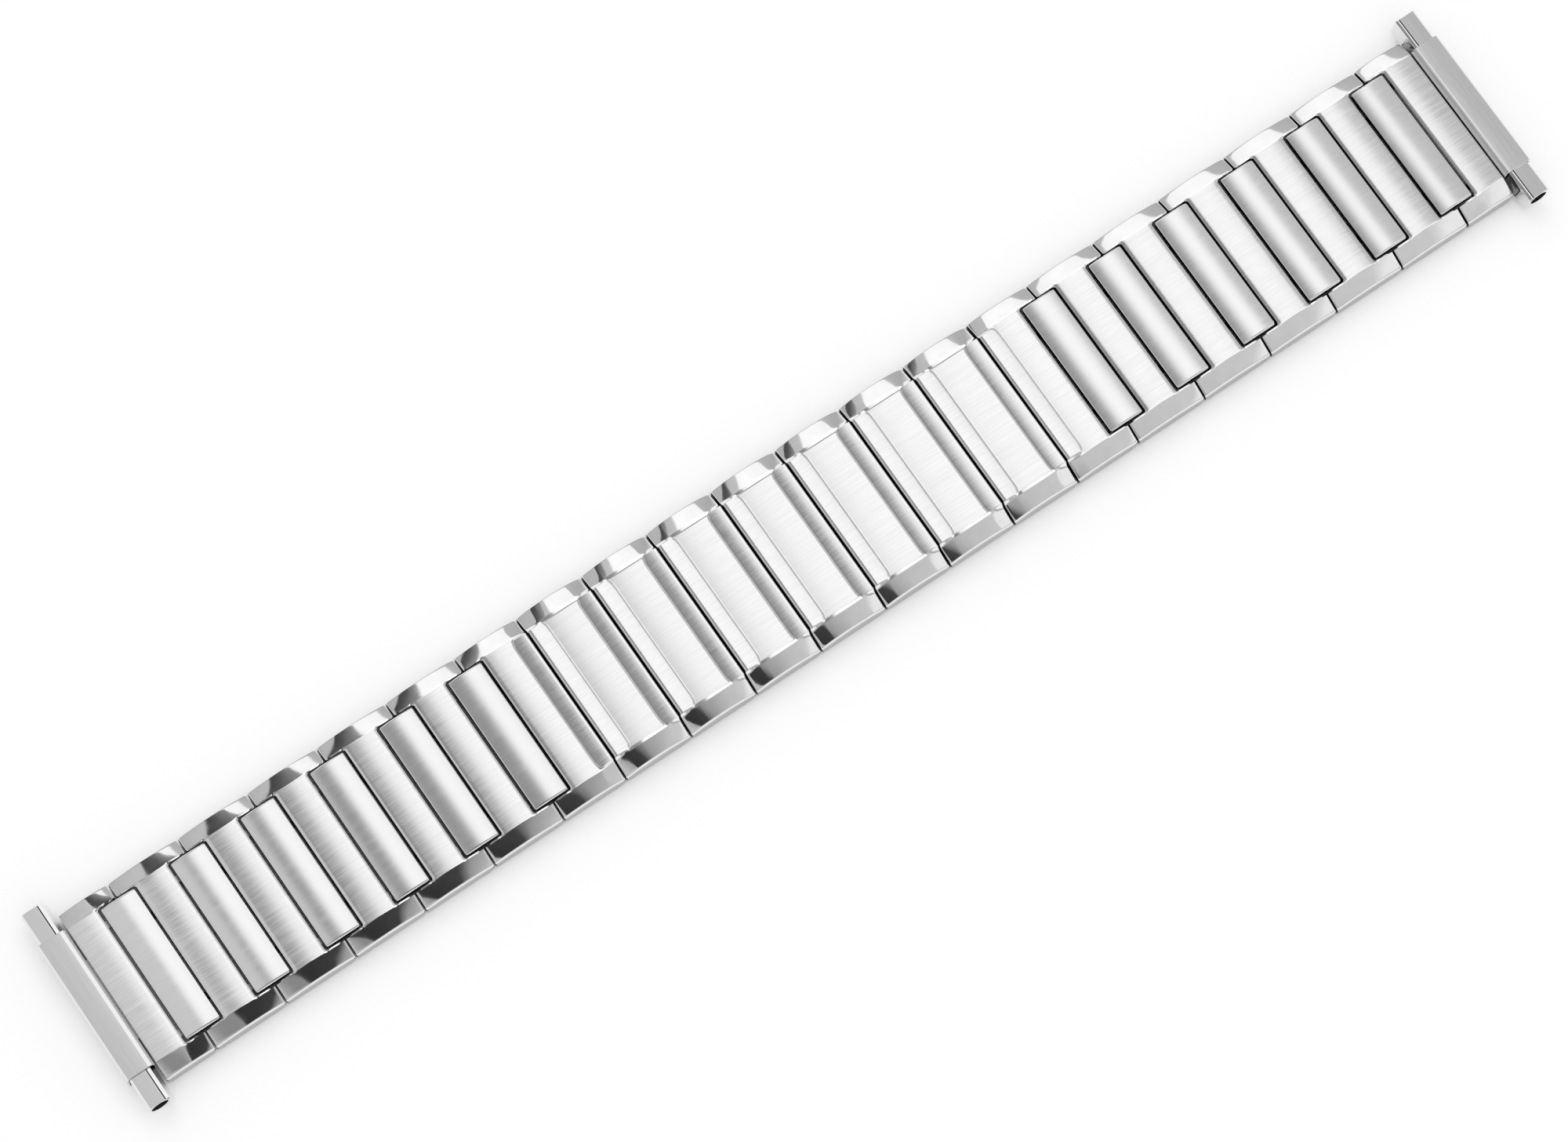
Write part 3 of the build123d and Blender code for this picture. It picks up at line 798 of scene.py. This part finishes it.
# Light tent: even all round, darker to the left and right overhead, and white low down, past the floor
tent = {
    "horizon": 0.42,
    "horizonRange": (0.05, 0.65),
    "overhead": 0.66,
    "aboveRange": (0.1, 0.75),
    "leftShare": 0.42,
    "leftEdge": (-0.02, 0.12),
    "rightShare": 0.55,
    "rightEdge": (0.28, 0.65),
    "sidesAbove": (0.7, 0.88),
    "whiteBelow": (0.1, 0.3),
    "diffuse": 0.75,
}
world = bpy.data.worlds.new("Light tent")
scene.world = world
world.use_nodes = True
tree = world.node_tree
backdrop = tree.nodes["Background"]
backdrop.inputs["Color"].default_value = (1, 1, 1, 1)
coords = tree.nodes.new("ShaderNodeTexCoord")
split = tree.nodes.new("ShaderNodeSeparateXYZ")
tree.links.new(coords.outputs["Generated"], split.inputs[0])
leftSide = rangeNode(tree, split.outputs["X"], tent["leftEdge"], (tent["leftShare"], 1.0))
rightSide = rangeNode(tree, split.outputs["X"], tent["rightEdge"], (1.0, tent["rightShare"]))
overhead = rangeNode(tree, split.outputs["Z"], tent["sidesAbove"], (0.0, 1.0))
sides = mixNode(tree, overhead, 1.0, mathNode(tree, "MULTIPLY", leftSide, rightSide))
fromAbove = rangeNode(tree, split.outputs["Z"], tent["aboveRange"], (0.0, tent["overhead"]))
fromHorizon = rangeNode(tree, split.outputs["Z"], tent["horizonRange"], (tent["horizon"], 0.0))
strength = mathNode(tree, "ADD", mathNode(tree, "MULTIPLY", fromAbove, sides), fromHorizon)
lowDown = rangeNode(tree, split.outputs["Z"], tent["whiteBelow"], (1.0, 0.0))
strength = mixNode(tree, lowDown, strength, 1.0)
rays = tree.nodes.new("ShaderNodeLightPath")
strength = mixNode(tree, rays.outputs["Is Diffuse Ray"], strength, tent["diffuse"])
tree.links.new(strength, backdrop.inputs["Strength"])

# Soft box over the band, a little to the right and behind
softBox = {"place": (530, 1000, 1500), "size": (950, 2800), "radiance": 0.52}
lamp = bpy.data.lights.new("Soft box", "AREA")
lamp.shape = "RECTANGLE"
lamp.size, lamp.size_y = (side * mm for side in softBox["size"])
lamp.energy = softBox["radiance"] * pi * lamp.size * lamp.size_y
lampObject = bpy.data.objects.new("Soft box", lamp)
lampObject.location = Vector(softBox["place"]) * mm
scene.collection.objects.link(lampObject)

# Cards that show only as reflections: x range, y range, height, and tones along x
cards = {
    "frontCard": ((-67, 260), (-115, -24), 100,
                  ((0.0, 0.03), (0.113, 0.05), (0.153, 0.35), (0.266, 0.58), (0.5, 0.66), (0.56, 0.9), (1.0, 0.95))),
    "rearCard": ((-62, -26), (95, 260), 120, ((0.0, 0.04), (0.5, 0.1), (1.0, 0.3))),
    "rightCard": ((108, 420), (0, 60), 131, ((0.0, 0.56), (1.0, 0.5))),
    "leftCard": ((-300, -72), (-5, 45), 80, ((0.0, 0.56), (1.0, 0.68))),
}
for name, (xRange, yRange, height, tones) in cards.items():
    cardMesh = bpy.data.meshes.new(name)
    corners = [(xRange[k] * mm, yRange[n] * mm, height * mm) for k, n in ((0, 0), (1, 0), (1, 1), (0, 1))]
    cardMesh.from_pydata(corners, [], [(0, 1, 2, 3)])
    card = bpy.data.objects.new(name, cardMesh)
    scene.collection.objects.link(card)
    material = bpy.data.materials.new(name)
    material.use_nodes = True
    tree = material.node_tree
    tree.nodes.clear()
    along = tree.nodes.new("ShaderNodeTexCoord")
    split = tree.nodes.new("ShaderNodeSeparateXYZ")
    ramp = tree.nodes.new("ShaderNodeValToRGB")
    glow = tree.nodes.new("ShaderNodeEmission")
    output = tree.nodes.new("ShaderNodeOutputMaterial")
    while len(ramp.color_ramp.elements) < len(tones):
        ramp.color_ramp.elements.new(0.5)
    for element, (share, tone) in zip(ramp.color_ramp.elements, tones):
        element.position, element.color = share, (tone, tone, tone, 1)
    tree.links.new(along.outputs["Generated"], split.inputs[0])
    tree.links.new(split.outputs["X"], ramp.inputs[0])
    tree.links.new(ramp.outputs[0], glow.inputs["Color"])
    tree.links.new(glow.outputs[0], output.inputs["Surface"])
    cardMesh.materials.append(material)
    card.visible_camera = card.visible_diffuse = card.visible_shadow = False
    card.visible_transmission = card.visible_volume_scatter = False
print("camera, floor and lights set")

scene.view_settings.view_transform = "Standard"
